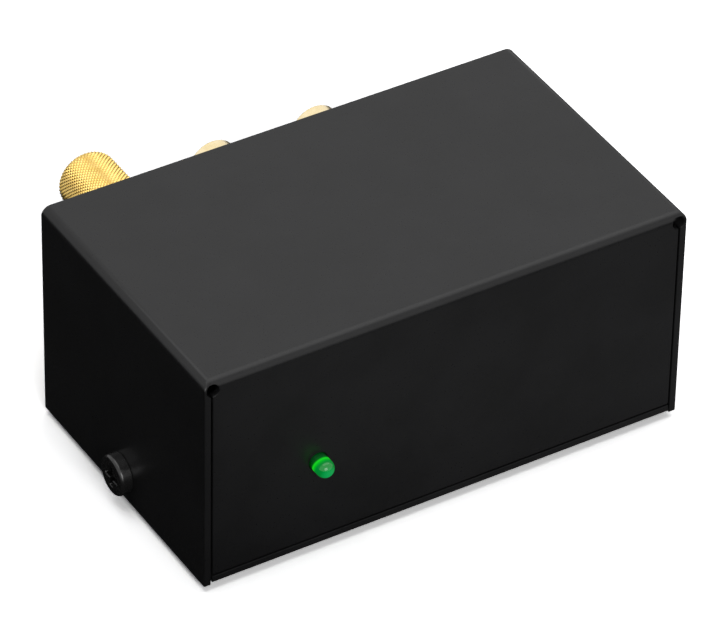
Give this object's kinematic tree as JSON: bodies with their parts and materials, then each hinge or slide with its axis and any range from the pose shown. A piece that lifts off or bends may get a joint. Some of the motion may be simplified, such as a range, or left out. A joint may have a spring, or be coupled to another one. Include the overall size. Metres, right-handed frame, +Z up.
{
  "type": "phono preamp",
  "caption": "Small folded sheet metal phono preamp with a lamp in front, stacked phono jacks, a power inlet and a knurled grounding nut behind.",
  "frame": {"origin": "middle of the footprint, on the surface under the feet", "axes": "+X to the right seen from the front, +Y from the front panel to the jacks, +Z up"},
  "size_m": [0.0892, 0.0688, 0.0401],
  "materials": {
    "black_powder_coat": "satin, very fine texture",
    "black_oxide_steel": "semi-gloss",
    "black_rubber": "matte",
    "zinc_steel": "satin",
    "green_lens": "clear tinted, lit",
    "tinned_wire": "satin",
    "green_board": "solder mask",
    "black_plastic": "moulded",
    "nickel": "polished",
    "gold_plate": "polished gold plate",
    "green_insulation": "extruded",
    "capacitor_sleeve": "shrink sleeve",
    "resistor_coat": "lacquered",
    "red_plastic": "moulded",
    "white_plastic": "moulded",
    "film_capacitor_red": "moulded"
  },
  "bodies": {
    "chassis": {"top_cover": "black_powder_coat", "base_tray": "black_powder_coat", "cover_screws": "black_oxide_steel", "rubber_feet": "black_rubber", "board_standoffs": "zinc_steel", "board_screws": "zinc_steel", "lamp_lens": "green_lens", "lamp_leads": "tinned_wire", "circuit_board": "green_board", "inlet_body": "black_plastic", "inlet_pin": "nickel", "inlet_spring": "nickel", "ground_stud": "gold_plate", "ground_star_washer": "zinc_steel", "ground_lock_nut": "gold_plate", "ground_lug": "tinned_wire", "ground_wire": "green_insulation", "supply_capacitor": "capacitor_sleeve", "ripple_capacitor": "capacitor_sleeve", "left_output_capacitor": "capacitor_sleeve", "right_output_capacitor": "capacitor_sleeve", "resistors": "resistor_coat", "plus_regulator": "black_plastic", "minus_regulator": "black_plastic", "guard_diode": "black_plastic", "input_jack_block": "black_plastic", "input_right_shell": "gold_plate", "input_right_insulator": "red_plastic", "input_right_contact": "gold_plate", "input_left_shell": "gold_plate", "input_left_insulator": "white_plastic", "input_left_contact": "gold_plate", "output_jack_block": "black_plastic", "output_right_shell": "gold_plate", "output_right_insulator": "red_plastic", "output_right_contact": "gold_plate", "output_left_shell": "gold_plate", "output_left_insulator": "white_plastic", "output_left_contact": "gold_plate", "left_chip_socket": "black_plastic", "left_amplifier_chip": "black_plastic", "left_bass_capacitor": "film_capacitor_red", "left_treble_capacitor": "film_capacitor_red", "right_chip_socket": "black_plastic", "right_amplifier_chip": "black_plastic", "right_bass_capacitor": "film_capacitor_red", "right_treble_capacitor": "film_capacitor_red"},
    "clamp_washer": {"ground_clamp_washer": "gold_plate"},
    "thumb_nut": {"ground_thumb_nut": "gold_plate"}
  },
  "joints": [
    {"name": "washer_travel", "type": "slide", "parent": "chassis", "child": "clamp_washer", "axis": [0, 1, 0], "range_m": [0, 0.0035]},
    {"name": "nut_spin", "type": "hinge", "parent": "clamp_washer", "child": "thumb_nut", "pos_m": [-0.0265, 0.022, 0.03015], "axis": [0, 1, 0], "range_deg": [0, 1800]}
  ],
  "couplings": [
    {"joint": "nut_spin", "follows": "washer_travel", "rad_per_m": 8975.9}
  ]
}
